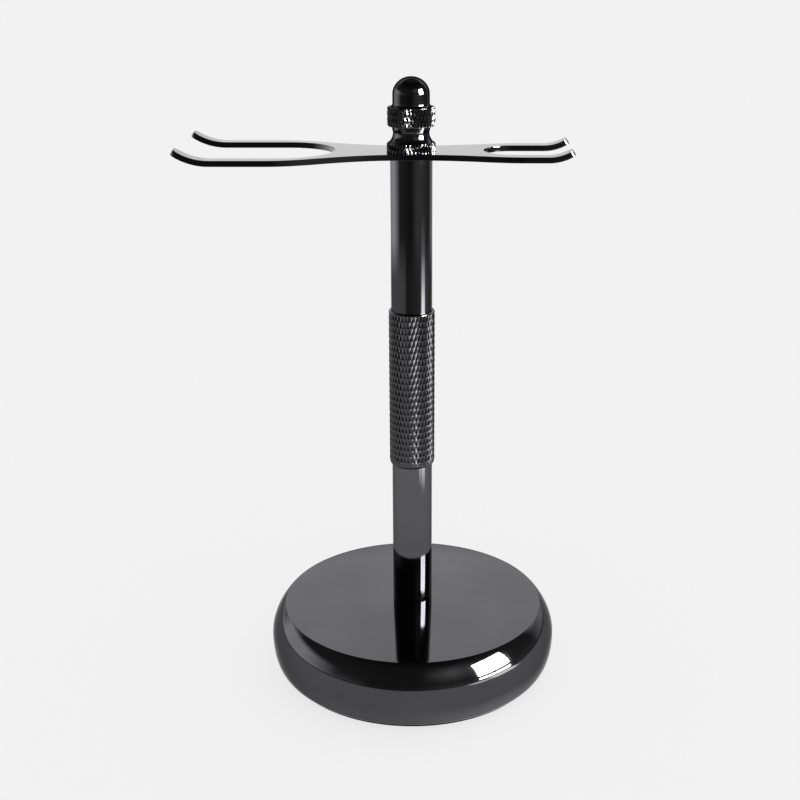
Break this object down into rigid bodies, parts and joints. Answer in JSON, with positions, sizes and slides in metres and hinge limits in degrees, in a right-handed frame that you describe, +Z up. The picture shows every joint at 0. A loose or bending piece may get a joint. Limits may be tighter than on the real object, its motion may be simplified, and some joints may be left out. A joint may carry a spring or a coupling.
{
  "type": "razor and brush stand",
  "caption": "Razor and shaving brush stand: weighted round base, knurled pole, flat two-forked holder plate clamped by a screwed domed finial.",
  "frame": {"origin": "on the pole's axis, at the underside of the foam pad, where the stand meets the surface it stands on", "axes": "+Z up along the pole, +X towards the narrow razor fork, -X towards the wide brush fork"},
  "size_m": [0.0932, 0.075, 0.1543],
  "materials": {
    "black_chrome": "polished black chrome plating",
    "black_chrome_knurled": "black chrome plating over a diamond knurl",
    "cast_iron": "rough casting, faced top and bottom",
    "zinc_steel": "zinc-plated steel",
    "brass": "turned brass",
    "pad_foam": "matte black foam pad",
    "nylon": "natural nylon"
  },
  "bodies": {
    "stand": {"base_shell": "black_chrome", "base_ballast": "cast_iron", "base_bottom_plate": "zinc_steel", "base_pad": "pad_foam", "base_screw": "zinc_steel", "base_lock_washer": "zinc_steel", "base_flat_washer": "zinc_steel", "lower_tube": "black_chrome", "lower_tube_foot_plug": "brass", "lower_tube_head_plug": "brass", "knurled_sleeve": "black_chrome_knurled", "coupling_stud": "zinc_steel", "upper_tube": "black_chrome", "upper_tube_foot_plug": "brass", "upper_tube_head_plug": "brass", "top_stud": "zinc_steel"},
    "holder": {"holder_plate": "black_chrome"},
    "thrust_washer": {"finial_washer": "nylon"},
    "finial": {"finial": "black_chrome_knurled"}
  },
  "joints": [
    {"name": "holder_swivel", "type": "hinge", "parent": "stand", "child": "holder", "pos_m": [0, 0, 0.1364], "axis": [0, 0, 1], "continuous": true},
    {"name": "finial_lift", "type": "slide", "parent": "stand", "child": "thrust_washer", "axis": [0, 0, 1], "range_m": [0, 0.0064]},
    {"name": "finial_turn", "type": "hinge", "parent": "thrust_washer", "child": "finial", "pos_m": [0, 0, 0.1371], "axis": [0, 0, 1], "range_deg": [0, 2880]}
  ],
  "couplings": [
    {"joint": "finial_lift", "follows": "finial_turn", "m_per_rad": 0.00012732}
  ]
}
